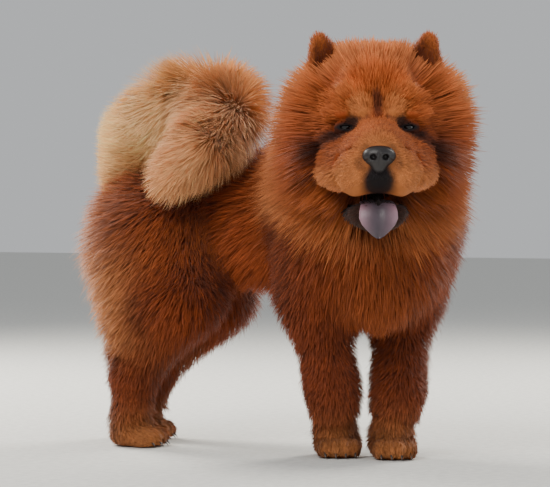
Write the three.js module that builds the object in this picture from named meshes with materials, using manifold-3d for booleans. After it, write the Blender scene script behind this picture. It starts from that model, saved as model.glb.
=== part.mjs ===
// A life-size adult chow chow, standing still on four feet with its head turned to its right,
// its mouth open and its tail curled over the back and down the right flank.
//
// Frame, in millimetres: +Z is up, the trunk runs along Y with the chest towards -Y, and +X is the
// dog's left. The floor is at z = 0 and the origin is below the middle of the whole animal.
//
// The body is one smooth field of soft joined ellipsoids and round cones, one for each muscle mass.
// Each mass states its coat depth, so the same masses give the skin, the dense under-coat and the
// tips of the outer coat. The under-coat is cut into parts, and flat tapered locks grow out of it.
import * as THREE from "three";
import { mergeVertices } from "three/addons/utils/BufferGeometryUtils.js";
import Module from "manifold-3d";

const wasm = await Module();
wasm.setup();

// Driving dimensions
const WITHERS = 500; // height of the shoulder top, at the skin
const TRUNK = 0.73 * WITHERS; // from the hip joints to the line of the forelegs
const HIP_UP = 0.75 * WITHERS;
const CHEST_UP = 0.735 * WITHERS;
const SKULL_UP = 1.115 * WITHERS; // middle of the braincase
const SKULL_OUT = 0.32 * WITHERS; // from the foreleg line forward to the braincase
const HIND_TURN = 13; // degrees that the pelvis turns to the dog's left
const FORE_TURN = -31; // degrees that the chest turns to the dog's right
const NECK_TURN = -53; // the line from the withers to the head
const HEAD_TURN = -57; // the face
const GAP = 0.3; // clear space between parts that touch
const COAT_CORE = 0.48; // share of the coat that the solid under-coat fills
const BLEND = 13; // softness of the joins between muscle masses
const SOLE = 52; // height at which a paw meets its leg
const KNEE_CUT = 200; // height at which an upper leg meets the lower leg
const EYE = 11; // radius of an eyeball

// Frames of reference: forward, left and up from a point, with the nose side turned by an angle
function frameAt(x, y, z, turnDegrees) {
  const turn = THREE.MathUtils.degToRad(turnDegrees);
  const forward = new THREE.Vector3(Math.sin(turn), -Math.cos(turn), 0);
  const left = new THREE.Vector3(Math.cos(turn), Math.sin(turn), 0);
  return { origin: new THREE.Vector3(x, y, z), forward, left, up: new THREE.Vector3(0, 0, 1) };
}

function place(frame, [forward, left, up]) {
  return frame.origin.clone()
    .addScaledVector(frame.forward, forward)
    .addScaledVector(frame.left, left)
    .addScaledVector(frame.up, up);
}

const HIND = frameAt(0, TRUNK / 2, 0, HIND_TURN);
const MIDDLE = frameAt(0.07 * TRUNK, -0.03 * TRUNK, 0, (HIND_TURN + FORE_TURN) / 2);
const FORE = frameAt(0, -TRUNK / 2, 0, FORE_TURN);
const NECK = frameAt(0, -TRUNK / 2, 0, NECK_TURN);
const skullPlace = place(NECK, [SKULL_OUT, 0, SKULL_UP]);
const HEAD = frameAt(skullPlace.x, skullPlace.y, skullPlace.z, HEAD_TURN);
const FRAMES = { HIND, MIDDLE, FORE, NECK, HEAD };

// Muscle masses: an egg is an ellipsoid, and a cone runs between two balls.
// Places are forward, left and up in a frame, radii are at the skin, and coat is the hair's depth.
const egg = (frame, at, radii, coat) => ({ kind: "egg", frame, at, radii, coat });
const cone = (frame, from, to, radii, coat) => ({ kind: "cone", frame, from, to, radii, coat });
const bothSides = (make) => [1, -1].flatMap(make);

const TRUNK_MASSES = [
  egg("FORE", [-15, 0, CHEST_UP + 3], [136, 88, 104], 42), // rib cage
  egg("FORE", [62, 0, CHEST_UP - 42], [60, 66, 80], 48), // breast
  egg("FORE", [-45, 0, CHEST_UP + 75], [88, 56, 46], 60), // withers, under the end of the mane
  egg("MIDDLE", [-6, 0, HIP_UP + 12], [118, 76, 80], 54), // loin
  egg("HIND", [4, 0, HIP_UP + 6], [112, 82, 82], 42), // rump
  egg("HIND", [-58, 0, HIP_UP - 40], [52, 72, 80], 72), // buttocks, with the long breeches
];

const NECK_MASSES = [
  cone("NECK", [-5, 0, CHEST_UP + 45], [SKULL_OUT - 48, 0, SKULL_UP - 72], [84, 74], 92),
  egg("NECK", [66, 0, CHEST_UP + 22], [62, 70, 74], 78), // base of the throat
];

const HEAD_MASSES = [
  egg("HEAD", [0, 0, 8], [82, 72, 66], 26), // braincase
  egg("HEAD", [92, 0, -60], [60, 34, 33], 5), // bridge of the muzzle
  ...bothSides((side) => [
    egg("HEAD", [-8, side * 50, -46], [52, 42, 54], 66), // cheek
    egg("HEAD", [-36, side * 56 + 7, -6], [42, 38, 48], 66), // ruff, beside and behind the ear
    egg("HEAD", [60, side * 29, -8], [25, 22, 19], 8), // brow
    egg("HEAD", [56, side * 50, -62], [30, 26, 22], 9), // cheekbone, below the eye
    egg("HEAD", [106, side * 25, -99], [42, 32, 36], 4), // upper lip
  ]),
];

// Legs: where each joint stands on the right side, and how far the left foot stands from that
const FORELEG = { elbow: [-14, 76, 262], wrist: [-12, 50, 108], foot: [-24, 34, 21], turn: -22 };
const HINDLEG = { knee: [38, 78, 258], hock: [-52, 66, 140], foot: [-56, 57, 21], turn: -8 };
const FORE_STEP = 62;
const HIND_STEP = -34;
const stepOf = (side, step) => (side > 0 ? step : 0);
const down = ([forward, left, up], side, step) => [forward + step, side * left, up];
const sideName = (side) => (side > 0 ? "left" : "right");
const PAWS = [];

for (const side of [1, -1]) {
  for (const [name, frame, leg, step, turn] of [
    ["fore", FORE, FORELEG, stepOf(side, FORE_STEP), FORE_TURN],
    ["hind", HIND, HINDLEG, stepOf(side, HIND_STEP), HIND_TURN],
  ]) {
    const sole = place(frame, [leg.foot[0] + step, side * leg.foot[1], 0]);
    const label = name + "_paw_" + sideName(side);
    FRAMES[label] = frameAt(sole.x, sole.y, 0, turn + leg.turn);
    PAWS.push(label);
  }
}

function forelegCones(side) {
  const step = stepOf(side, FORE_STEP);
  const elbow = down(FORELEG.elbow, side, 0.15 * step);
  const wrist = down(FORELEG.wrist, side, 0.7 * step);
  const foot = down(FORELEG.foot, side, step);
  return [
    cone("FORE", [30, side * 62, CHEST_UP - 10], elbow, [66, 46], 34),
    cone("FORE", elbow, wrist, [40, 26], 20),
    cone("FORE", wrist, [foot[0] - 8, foot[1], 34], [26, 25], 10),
  ];
}

function hindlegCones(side) {
  const step = stepOf(side, HIND_STEP);
  const knee = down(HINDLEG.knee, side, 0);
  const hock = down(HINDLEG.hock, side, 0.5 * step);
  const foot = down(HINDLEG.foot, side, step);
  return [
    cone("HIND", [2, side * 32, HIP_UP - 12], knee, [84, 48], 38),
    cone("HIND", [-36, side * 46, HIP_UP - 70], [-40, side * 70, 225], [58, 36], 52),
    cone("HIND", knee, hock, [46, 28], 26),
    cone("HIND", hock, [foot[0] - 12, foot[1], 34], [26, 23], 13),
  ];
}

// A paw is a pad with four arched toes in front
const PAD = { at: [-6, 0, 20], radii: [37, 34, 25] };
const TOES = [-1.5, -0.5, 0.5, 1.5];
const TOE_PITCH = 16;
const TOE_RADII = [22, 10.5, 16];
const toeAt = (toe) => [32 - 6 * Math.abs(toe), toe * TOE_PITCH, 15];
const padMass = (label) => egg(label, PAD.at, PAD.radii, 6);
const toeMasses = (label) => TOES.map((toe) => egg(label, toeAt(toe), TOE_RADII, 4));

// The tail rises from the croup, curls forward and falls down the right flank
const TAIL_PATH = [
  [-78, 0, HIP_UP + 77], [-58, 0, HIP_UP + 145], [-10, -2, HIP_UP + 197], [66, -20, HIP_UP + 212],
  [122, -78, HIP_UP + 186], [108, -142, HIP_UP + 132], [58, -172, HIP_UP + 78],
];
const TAIL_RADII = [26, 23, 20, 17, 14, 11, 8];
const TAIL_COATS = [34, 46, 62, 68, 70, 60, 46];
const TAIL_MASSES = TAIL_PATH.slice(1).map((point, i) =>
  cone("HIND", TAIL_PATH[i], point, TAIL_RADII.slice(i, i + 2), TAIL_COATS[i + 1]),
);

const placed = (mass) => {
  const frame = FRAMES[mass.frame];
  if (mass.kind === "egg") return { ...mass, frame, centre: place(frame, mass.at) };
  return { ...mass, frame, start: place(frame, mass.from), end: place(frame, mass.to) };
};
const BODY = [
  ...TRUNK_MASSES,
  ...NECK_MASSES,
  ...HEAD_MASSES,
  ...bothSides(forelegCones),
  ...bothSides(hindlegCones),
  ...PAWS.flatMap((label) => [padMass(label), ...toeMasses(label)]),
].map(placed);
const TAIL = TAIL_MASSES.map(placed);

// Distance from a point to one mass whose radii grow by a share of its coat, below zero inside
const scratch = new THREE.Vector3();
const line = new THREE.Line3();
function toMass(point, mass, share, extra) {
  const grow = share * mass.coat + extra;
  if (mass.kind === "egg") {
    scratch.subVectors(point, mass.centre);
    const along = [scratch.dot(mass.frame.forward), scratch.dot(mass.frame.left), scratch.z];
    let outside = 0;
    let slope = 0;
    for (let axis = 0; axis < 3; axis++) {
      const radius = mass.radii[axis] + grow;
      outside += (along[axis] / radius) ** 2;
      slope += (along[axis] / radius ** 2) ** 2;
    }
    const level = Math.sqrt(outside);
    return slope > 0 ? (level * (level - 1)) / Math.sqrt(slope) : -Math.min(...mass.radii);
  }
  line.set(mass.start, mass.end);
  const along = line.closestPointToPointParameter(point, true);
  const radius = THREE.MathUtils.lerp(mass.radii[0], mass.radii[1], along) + grow;
  return line.at(along, scratch).distanceTo(point) - radius;
}

// A soft minimum over some masses
const fieldOf = (masses) => (point, share, extra = 0) => {
  let sum = 0;
  for (const mass of masses) sum += Math.exp(-toMass(point, mass, share, extra) / BLEND);
  return -BLEND * Math.log(sum + 1e-30);
};
const bodyField = fieldOf(BODY);
const legCones = (name, side) => (name === "foreleg" ? forelegCones(side) : hindlegCones(side));
const legField = (name, side) => fieldOf(legCones(name, side).map(placed));
const tailField = fieldOf(TAIL);

function slopeOf(field, point, share) {
  const step = 2;
  const probe = new THREE.Vector3();
  const along = (x, y, z) =>
    field(probe.set(point.x + x, point.y + y, point.z + z), share) -
    field(probe.set(point.x - x, point.y - y, point.z - z), share);
  return new THREE.Vector3(along(step, 0, 0), along(0, step, 0), along(0, 0, step)).normalize();
}

// Closed solids from triangles
function closed(points, faces) {
  let volume = 0;
  for (const [a, b, c] of faces) {
    volume += points[a].dot(new THREE.Vector3().crossVectors(points[b], points[c]));
  }
  const outward = volume < 0 ? faces.map(([a, b, c]) => [a, c, b]) : faces;
  return new wasm.Manifold(new wasm.Mesh({
    numProp: 3,
    vertProperties: new Float32Array(points.flatMap((p) => [p.x, p.y, p.z])),
    triVerts: new Uint32Array(outward.flat()),
  }));
}

function solidOf(geometry, matrix) {
  geometry.applyMatrix4(matrix);
  geometry.deleteAttribute("normal");
  geometry.deleteAttribute("uv");
  const merged = mergeVertices(geometry, 1e-4);
  const at = merged.getAttribute("position");
  const points = Array.from({ length: at.count }, (_, i) => new THREE.Vector3().fromBufferAttribute(at, i));
  const corners = Array.from(merged.index.array);
  const faces = [];
  for (let i = 0; i < corners.length; i += 3) faces.push(corners.slice(i, i + 3));
  return closed(points, faces.filter(([a, b, c]) => a !== b && b !== c && a !== c));
}

function poseOf(frame, at, tilt = [0, 0, 0]) {
  const turned = new THREE.Matrix4().makeBasis(frame.forward, frame.left, frame.up);
  const angles = tilt.map(THREE.MathUtils.degToRad);
  turned.multiply(new THREE.Matrix4().makeRotationFromEuler(new THREE.Euler(...angles)));
  return turned.setPosition(place(frame, at));
}

function ball(frame, at, radii, { tilt, grow = 0, detail = 2 } = {}) {
  const size = new THREE.Vector3(...radii).addScalar(grow);
  const pose = poseOf(frame, at, tilt).multiply(new THREE.Matrix4().makeScale(size.x, size.y, size.z));
  return solidOf(new THREE.IcosahedronGeometry(1, detail), pose);
}

// Everything beyond a plane through a point, and a gap further on
const FAR = 1800;
function beyond(frame, at, normal, gap = 0) {
  const toward = new THREE.Vector3(...normal).normalize();
  const turn = new THREE.Quaternion().setFromUnitVectors(new THREE.Vector3(1, 0, 0), toward);
  const pose = poseOf(frame, at).multiply(new THREE.Matrix4().makeRotationFromQuaternion(turn));
  return solidOf(new THREE.BoxGeometry(FAR, FAR, FAR).translate(FAR / 2 + gap, 0, 0), pose);
}

const join = (solids) => wasm.Manifold.union(solids);
const meet = (solids) => wasm.Manifold.intersection(solids);
const cut = (solid, cutters) => (cutters.length ? solid.subtract(join(cutters)) : solid);

function largest(solid) {
  const bodies = solid.decompose();
  return bodies.reduce((best, body) => (body.volume() > best.volume() ? body : best));
}

// The same solid without edges shorter than a hair: each is folded away where the surface stays
// whole, and stretched where it would not
const SHORTEST = 0.02;
function mended(solid) {
  const { vertProperties, triVerts } = solid.getMesh();
  const points = [];
  for (let i = 0; i < vertProperties.length; i += 3) {
    points.push(new THREE.Vector3(...vertProperties.subarray(i, i + 3)));
  }
  let faces = [];
  for (let i = 0; i < triVerts.length; i += 3) faces.push(Array.from(triVerts.subarray(i, i + 3)));
  for (let round = 0; round < 30; round++) {
    const neighbours = points.map(() => new Set());
    for (const [a, b, c] of faces) {
      neighbours[a].add(b).add(c);
      neighbours[b].add(a).add(c);
      neighbours[c].add(a).add(b);
    }
    const locked = new Set();
    const folded = new Map();
    let short = 0;
    for (const [a, b] of closePairs(points, faces)) {
      short += 1;
      if (locked.has(a) || locked.has(b)) continue;
      const shared = [...neighbours[a]].filter((other) => neighbours[b].has(other));
      for (const near of [a, b, ...neighbours[a], ...neighbours[b]]) locked.add(near);
      if (neighbours[a].has(b) && shared.length === 2) {
        folded.set(b, a);
        continue;
      }
      const away = new THREE.Vector3().subVectors(points[b], points[a]);
      if (away.lengthSq() === 0) away.set(0, 0, 1);
      points[b].addScaledVector(away.normalize(), 3 * SHORTEST);
    }
    if (!short) break;
    faces = faces.map((face) => face.map((corner) => folded.get(corner) ?? corner))
      .filter(([a, b, c]) => a !== b && b !== c && a !== c);
  }
  return new wasm.Manifold(new wasm.Mesh({
    numProp: 3,
    vertProperties: new Float32Array(points.flatMap((p) => [p.x, p.y, p.z])),
    triVerts: new Uint32Array(faces.flat()),
  }));
}

// Pairs of used points nearer to each other than the shortest edge allowed
function closePairs(points, faces) {
  const used = [...new Set(faces.flat())].sort((a, b) => points[a].x - points[b].x);
  const pairs = [];
  for (let i = 0; i < used.length; i++) {
    for (let j = i + 1; j < used.length; j++) {
      if (points[used[j]].x - points[used[i]].x > SHORTEST) break;
      if (points[used[i]].distanceTo(points[used[j]]) < SHORTEST) pairs.push([used[i], used[j]]);
    }
  }
  return pairs;
}

// A tube through rings of points, closed flat at both ends
function tube(rings) {
  const sides = rings[0].length;
  const faces = [];
  for (let ring = 0; ring + 1 < rings.length; ring++) {
    for (let side = 0; side < sides; side++) {
      const a = ring * sides + side;
      const b = ring * sides + ((side + 1) % sides);
      faces.push([a, b, b + sides], [a, b + sides, a + sides]);
    }
  }
  const last = (rings.length - 1) * sides;
  for (let side = 1; side + 1 < sides; side++) {
    faces.push([0, side + 1, side], [last, last + side, last + side + 1]);
  }
  return closed(rings.flat(), faces);
}

// The surface of a field inside a box, as one closed solid of quads on a square grid
const SHIFTS = [[-1, -1], [0, -1], [0, 0], [-1, 0]];
function surfaced(field, centre, half, cell) {
  const low = centre.clone().sub(new THREE.Vector3(...half));
  const counts = half.map((size) => Math.ceil((2 * size) / cell) + 1);
  const [across, deep, tall] = counts;
  const nodeIndex = (i, j, k) => (k * deep + j) * across + i;
  const values = new Float32Array(across * deep * tall).fill(1);
  const probe = new THREE.Vector3();
  const at = (i, j, k) => probe.set(low.x + i * cell, low.y + j * cell, low.z + k * cell);
  for (let k = 1; k + 1 < tall; k++) {
    for (let j = 1; j + 1 < deep; j++) {
      for (let i = 1; i + 1 < across; i++) values[nodeIndex(i, j, k)] = field(at(i, j, k)) || 1e-6;
    }
  }
  const points = [];
  const pointOf = new Map();
  for (let k = 0; k + 1 < tall; k++) {
    for (let j = 0; j + 1 < deep; j++) {
      for (let i = 0; i + 1 < across; i++) {
        const crossing = cellCrossing(values, nodeIndex, [i, j, k]);
        if (!crossing) continue;
        const point = crossing.multiplyScalar(cell).add(low);
        const inner = [i, j, k].every((place, axis) => place > 0 && place + 2 < counts[axis]);
        if (inner) settle(field, point, cell);
        pointOf.set(nodeIndex(i, j, k), points.length);
        points.push(point);
      }
    }
  }
  const faces = [];
  for (let k = 0; k + 1 < tall; k++) {
    for (let j = 0; j + 1 < deep; j++) {
      for (let i = 0; i + 1 < across; i++) {
        const from = values[nodeIndex(i, j, k)];
        for (let axis = 0; axis < 3; axis++) {
          const next = [i, j, k];
          next[axis] += 1;
          if (from < 0 === values[nodeIndex(...next)] < 0) continue;
          faces.push(...quadAround([i, j, k], axis, from < 0, nodeIndex, pointOf, points));
        }
      }
    }
  }
  return largest(closed(points, faces));
}

// The middle of the places where a field crosses the edges of one cell, in cells
function cellCrossing(values, nodeIndex, [i, j, k]) {
  const sum = new THREE.Vector3();
  let found = 0;
  for (let axis = 0; axis < 3; axis++) {
    const [u, v] = [(axis + 1) % 3, (axis + 2) % 3];
    for (let corner = 0; corner < 4; corner++) {
      const start = [i, j, k];
      start[u] += corner & 1;
      start[v] += corner >> 1;
      const end = [...start];
      end[axis] += 1;
      const [a, b] = [values[nodeIndex(...start)], values[nodeIndex(...end)]];
      if (a < 0 === b < 0) continue;
      start[axis] += a / (a - b);
      sum.add(new THREE.Vector3(...start));
      found += 1;
    }
  }
  return found ? sum.divideScalar(found) : null;
}

function quadAround(spot, axis, facesOn, nodeIndex, pointOf, points) {
  const corners = SHIFTS.map(([du, dv]) => {
    const cellAt = [...spot];
    cellAt[(axis + 1) % 3] += du;
    cellAt[(axis + 2) % 3] += dv;
    return pointOf.get(nodeIndex(...cellAt));
  });
  if (!facesOn) corners.reverse();
  const [a, b, c, d] = corners;
  const straight = points[a].distanceTo(points[c]) < points[b].distanceTo(points[d]);
  return straight ? [[a, b, c], [a, c, d]] : [[a, b, d], [b, c, d]];
}

// Moves a point onto the zero of a field
function settle(field, point, cell) {
  const start = point.clone();
  const probe = new THREE.Vector3();
  for (let round = 0; round < 3; round++) {
    const value = field(point);
    const slope = new THREE.Vector3(
      field(probe.copy(point).setX(point.x + 1)) - value,
      field(probe.copy(point).setY(point.y + 1)) - value,
      field(probe.copy(point).setZ(point.z + 1)) - value,
    );
    point.addScaledVector(slope, -value / Math.max(slope.lengthSq(), 0.05));
  }
  if (point.distanceTo(start) > 0.6 * cell) point.copy(start);
}

// Regions: which part of the body belongs to which node, with a clear gap at each border
const headSpace = (gap) => beyond(HEAD, [-30, 0, -78], [0.7, 0, 0.71], gap);
const neckLine = (gap) => beyond(NECK, [20, 0, CHEST_UP + 30], [0.62, 0, 0.78], gap);
const above = (height, gap) => beyond(FORE, [0, 0, height], [0, 0, 1], gap);
const below = (height, gap) => beyond(FORE, [0, 0, height], [0, 0, -1], gap);
const forelegSpace = (side, gap) => meet([
  beyond(FORE, [0, side * 28, 215], [0, side * 0.7, -0.71], gap),
  beyond(FORE, [0, 0, 0], [0, side, 0], gap),
  beyond(FORE, [-115, 0, 0], [1, 0, 0], gap),
  beyond(FORE, [125, 0, 0], [-1, 0, 0], gap),
]);
const thighSpace = (side, gap) => meet([
  beyond(HIND, [0, side * 22, 225], [0, side * 0.9, -0.43], gap),
  beyond(HIND, [0, 0, 0], [0, side, 0], gap),
  beyond(HIND, [130, 0, 0], [-1, 0, 0], gap),
]);
const tailLine = (side, gap) => beyond(HIND, [30, -12, 590], [0.8 * side, -0.6 * side, 0], gap);

const LEGS = [1, -1].flatMap((side) => [
  { name: "foreleg", side, space: (gap) => forelegSpace(side, gap), frame: FORE, at: [0, side * 60, 240] },
  { name: "hindleg", side, space: (gap) => thighSpace(side, gap), frame: HIND, at: [0, side * 60, 240] },
]);

const NODES = [
  {
    name: "head", field: bodyField, cell: 21, frame: HEAD, at: [30, 0, -30], half: [185, 185, 160],
    space: headSpace,
  },
  {
    name: "neck", field: bodyField, cell: 34, frame: NECK, at: [60, 0, 430], half: [230, 230, 230],
    space: (gap) => neckLine(gap).subtract(headSpace(-gap)),
  },
  {
    name: "tail_base", field: tailField, cell: 24, frame: HIND, at: [0, -60, 530], half: [230, 230, 200],
    space: (gap) => tailLine(-1, gap),
  },
  {
    name: "tail_plume", field: tailField, cell: 24, frame: HIND, at: [0, -60, 530], half: [230, 230, 200],
    space: (gap) => tailLine(1, gap),
  },
  {
    name: "torso", field: bodyField, cell: 40, frame: MIDDLE, at: [0, 0, 370], half: [300, 390, 250],
    space: (gap) => above(60, gap).subtract(join([
      headSpace(-gap), neckLine(-gap), ...LEGS.map((leg) => leg.space(-gap)),
    ])),
  },
  ...LEGS.flatMap((leg) => [
    {
      name: leg.name + "_upper_" + sideName(leg.side), field: bodyField, cell: 32, frame: leg.frame,
      at: [leg.at[0], leg.at[1], 320], half: [220, 220, 170],
      space: (gap) => meet([leg.space(gap), above(KNEE_CUT, gap)]),
    },
    {
      name: leg.name + "_lower_" + sideName(leg.side), field: legField(leg.name, leg.side),
      cell: 28, frame: leg.frame,
      at: [leg.at[0], leg.at[1], 120], half: [190, 190, 120],
      space: (gap) => meet([leg.space(gap), below(KNEE_CUT, gap), above(SOLE, gap)]),
    },
  ]),
];

// The under-coat of one node inside its borders, grown by a little and kept off the borders
function coreOf(node, extra, gap) {
  const shape = surfaced(
    (point) => node.field(point, COAT_CORE, extra), place(node.frame, node.at), node.half, node.cell,
  );
  return largest(meet([shape, node.space(gap)]));
}

// Locks: flat tapered strips of coat, rooted deep in the under-coat and bent along its lie
const LOCK_STEPS = [0, 0.55, 1];
const LOCK_WIDTHS = [1, 0.86, 0.12];
const LOCK_SINK = 12;
const ROOT_MARGIN = 14; // no root is nearer to the border of its node
function lockShape({ root, out, tip, wide, thick, rise }, grow = 0) {
  const start = root.clone().addScaledVector(out, -LOCK_SINK);
  const bend = root.clone().lerp(tip, 0.35).addScaledVector(out, rise);
  const curve = new THREE.QuadraticBezierCurve3(start, bend, tip);
  const side = new THREE.Vector3().subVectors(tip, root).cross(out).normalize();
  return tube(LOCK_STEPS.map((step, i) => {
    const centre = curve.getPoint(step);
    if (step === 1) centre.addScaledVector(curve.getTangent(1), grow);
    const ridge = new THREE.Vector3().crossVectors(side, curve.getTangent(step)).normalize();
    const across = (wide / 2) * LOCK_WIDTHS[i] + 3 * grow;
    const deep = (thick / 2) * Math.sqrt(LOCK_WIDTHS[i]) + grow;
    return [[across, -deep], [0, deep], [-across, -deep]].map(([sideways, outward]) =>
      centre.clone().addScaledVector(side, sideways).addScaledVector(ridge, outward));
  }));
}

let seed = 11;
function random() {
  seed = (seed * 16807) % 2147483647;
  return seed / 2147483647;
}

// Roots spread over a core at an even spacing, where the coat is long enough and wanted
function locksOn(core, coat, field) {
  const { vertProperties } = core.getMesh();
  const spots = [];
  for (let i = 0; i < vertProperties.length; i += 3) {
    const spot = new THREE.Vector3(...vertProperties.subarray(i, i + 3));
    if (Math.abs(field(spot, COAT_CORE)) < 2) spots.push({ spot, order: random() });
  }
  spots.sort((a, b) => a.order - b.order);
  const locks = [];
  for (const { spot } of spots) {
    if (locks.some(({ root }) => root.distanceTo(spot) < coat.spacing)) continue;
    if (coat.wanted && !coat.wanted(spot)) continue;
    const out = slopeOf(field, spot, COAT_CORE);
    const lie = coat.lie(spot, out).projectOnPlane(out).normalize();
    const depth = -field(spot, 1);
    const tip = spot.clone().addScaledVector(lie, coat.long * (0.85 + 0.3 * random()));
    tip.addScaledVector(out, depth);
    settle((point) => field(point, 1) + 2, tip, 400);
    locks.push({ root: spot, out, tip, wide: coat.wide, thick: coat.thick, rise: 0.75 * depth });
  }
  return locks;
}

// The way the coat lies: words of forward, left and up in a frame
const toward = (frame, [forward, left, up]) => new THREE.Vector3()
  .addScaledVector(frame.forward, forward)
  .addScaledVector(frame.left, left)
  .addScaledVector(frame.up, up);
const seenFrom = (frame, point) => {
  const offset = new THREE.Vector3().subVectors(point, frame.origin);
  return [offset.dot(frame.forward), offset.dot(frame.left), offset.z];
};
const fromFace = (point, back, fall) => {
  const [, left, up] = seenFrom(HEAD, point);
  return toward(HEAD, [-back, left / 80, (up + 40) / 80 - fall]);
};
const tailLie = (point) => {
  const places = TAIL_PATH.map((spot) => place(HIND, spot));
  const spans = places.map((spot) => spot.distanceTo(point));
  const near = spans.indexOf(Math.min(...spans));
  const [back, next] = [places[Math.max(near - 1, 0)], places[Math.min(near + 1, places.length - 1)]];
  return new THREE.Vector3().subVectors(next, back).normalize().add(toward(HIND, [-0.5, 0, -0.35]));
};
const COATS = {
  head: {
    spacing: 62, long: 66, wide: 68, thick: 15, lie: (point) => fromFace(point, 0.9, 0.2),
    wanted: (point) => {
      const [forward, left, up] = seenFrom(HEAD, point);
      return forward < 62 - 0.004 * (up + 30) ** 2 && (Math.abs(left) > 40 || up > 60);
    },
  },
  neck: { spacing: 66, long: 96, wide: 80, thick: 17, lie: (point) => fromFace(point, 0.9, 1.3) },
  torso: { spacing: 124, long: 116, wide: 104, thick: 17, lie: () => toward(MIDDLE, [-1, 0, -0.9]) },
  tail: { spacing: 72, long: 108, wide: 66, thick: 16, lie: tailLie },
  upper: { spacing: 102, long: 102, wide: 88, thick: 16, lie: () => toward(HIND, [-0.5, 0, -1]) },
};

// The face
const eyeAt = (side) => [79, side * 48, -34];
const eyeball = (side, grow) => ball(HEAD, eyeAt(side), [EYE, EYE, EYE], { grow, detail: 1 });
const lidOf = (side) => ball(HEAD, eyeAt(side), [EYE + 5, EYE + 7, EYE + 5], { detail: 1 });
const eyeHollow = (side) => ball(HEAD, [106, side * 48, -33], [20, 19, 15], { detail: 1 });
const lidOpening = (side) => {
  const [forward, left, up] = eyeAt(side);
  const shell = (lift) => ball(HEAD, [forward + 12, left, up + lift], [20, 20, 20]);
  return meet([shell(14.5), shell(-14.5)]);
};
const earTilt = (side) => [-side * 14, -8, -side * 14];
const earShape = (side, grow = 0) => join([
  ball(HEAD, [-8, side * 75, 76], [14, 25, 39], { tilt: earTilt(side), grow, detail: 1 }),
  ball(HEAD, [-8, side * 70, 52], [16, 37, 32], { tilt: earTilt(side), grow, detail: 1 }),
]);
const earCup = (side) => join([
  ball(HEAD, [7, side * 74, 83], [11, 15, 24], { tilt: earTilt(side), detail: 1 }),
  ball(HEAD, [9, side * 70, 62], [11, 24, 22], { tilt: earTilt(side), detail: 1 }),
]);
const noseShape = (grow = 0) => join([
  ball(HEAD, [146, 0, -79], [21, 23, 17], { grow, detail: 1 }),
  ball(HEAD, [144, 0, -93], [16, 13, 12], { grow, detail: 1 }),
]);
const noseCuts = () => [
  ball(HEAD, [168, 0, -92], [7, 1.5, 11], { detail: 1 }),
  ...bothSides((side) => [
    ball(HEAD, [163, side * 9, -80], [9, 4.5, 4], { tilt: [side * 20, 0, -side * 15], detail: 1 }),
  ]),
];
const mouthSpace = () => ball(HEAD, [62, 0, -141], [64, 62, 17], { tilt: [0, 6, 0] });
const browFurrow = () => ball(HEAD, [92, 0, 6], [9, 2.5, 26], { detail: 1 });

// Oval rings across a path in the head's frame, each [forward, up, half width, half height]
function ovals(rings, count, grow) {
  return rings.map(([forward, up, wide, high], i) => {
    const [back, next] = [rings[Math.max(i - 1, 0)], rings[Math.min(i + 1, rings.length - 1)]];
    const slope = Math.atan2(next[1] - back[1], next[0] - back[0]);
    const beyondEnd = i === 0 ? -grow : i === rings.length - 1 ? grow : 0;
    const ahead = forward + beyondEnd * Math.cos(slope);
    const lift = up + beyondEnd * Math.sin(slope);
    return Array.from({ length: count }, (_, n) => {
      const angle = ((n + 0.5) / count) * 2 * Math.PI;
      const rise = (high + grow) * Math.sin(angle);
      const left = (wide + grow) * Math.cos(angle);
      return place(HEAD, [ahead - rise * Math.sin(slope), left, lift + rise * Math.cos(slope)]);
    });
  });
}

const JAW = [
  [0, -130, 44, 34], [48, -146, 46, 33], [90, -161, 41, 26], [116, -167, 32, 20], [128, -168, 17, 12],
];
const jawShape = (grow = 0) => tube(ovals(JAW, 10, grow));
const TONGUE = [
  [34, -146, 22, 4], [70, -147, 26, 5], [104, -149, 28, 5], [124, -154, 29, 5], [134, -168, 29, 4.5],
  [137, -184, 27, 4], [138, -197, 17, 3], [138, -202, 8, 2],
];
const tongueShape = (grow = 0) => tube(ovals(TONGUE, 10, grow));

// Paws and claws
const CLAW = { thick: 3.4, long: 10, droop: 24, ahead: 28.5 };
const clawPlace = (toe) => [toeAt(toe)[0] + CLAW.ahead, toeAt(toe)[1], 11];
function clawShape(frame, toe) {
  const pose = poseOf(frame, clawPlace(toe), [0, 90 + CLAW.droop, 0]);
  return solidOf(new THREE.ConeGeometry(CLAW.thick, CLAW.long, 6).rotateX(Math.PI / 2), pose);
}
function pawShape(label) {
  const frame = FRAMES[label];
  const side = label.endsWith("left") ? 1 : -1;
  const foreleg = label.startsWith("fore");
  const shin = placed((foreleg ? forelegCones(side) : hindlegCones(side)).at(-1));
  const pastern = shinShape(shin);
  const toes = TOES.map((toe) => ball(frame, toeAt(toe), TOE_RADII, { grow: 1, detail: 1 }));
  const pad = ball(frame, PAD.at, PAD.radii, { grow: 3, detail: 1 });
  return meet([join([pad, pastern, ...toes]), above(0, 0), below(SOLE, GAP / 2)]);
}

// The lower end of a leg's last cone, as a tube of ten sides down into the paw
function shinShape({ frame, start, end, radii, coat }) {
  const line = new THREE.Line3(start, end);
  return tube([0, 1].map((along) => {
    const centre = line.at(along, new THREE.Vector3());
    const radius = (THREE.MathUtils.lerp(...radii, along) + COAT_CORE * coat) * 1.04;
    return Array.from({ length: 10 }, (_, i) => {
      const angle = (i / 10) * 2 * Math.PI;
      return centre.clone()
        .addScaledVector(frame.forward, radius * Math.cos(angle))
        .addScaledVector(frame.left, radius * Math.sin(angle));
    });
  }));
}

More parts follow.
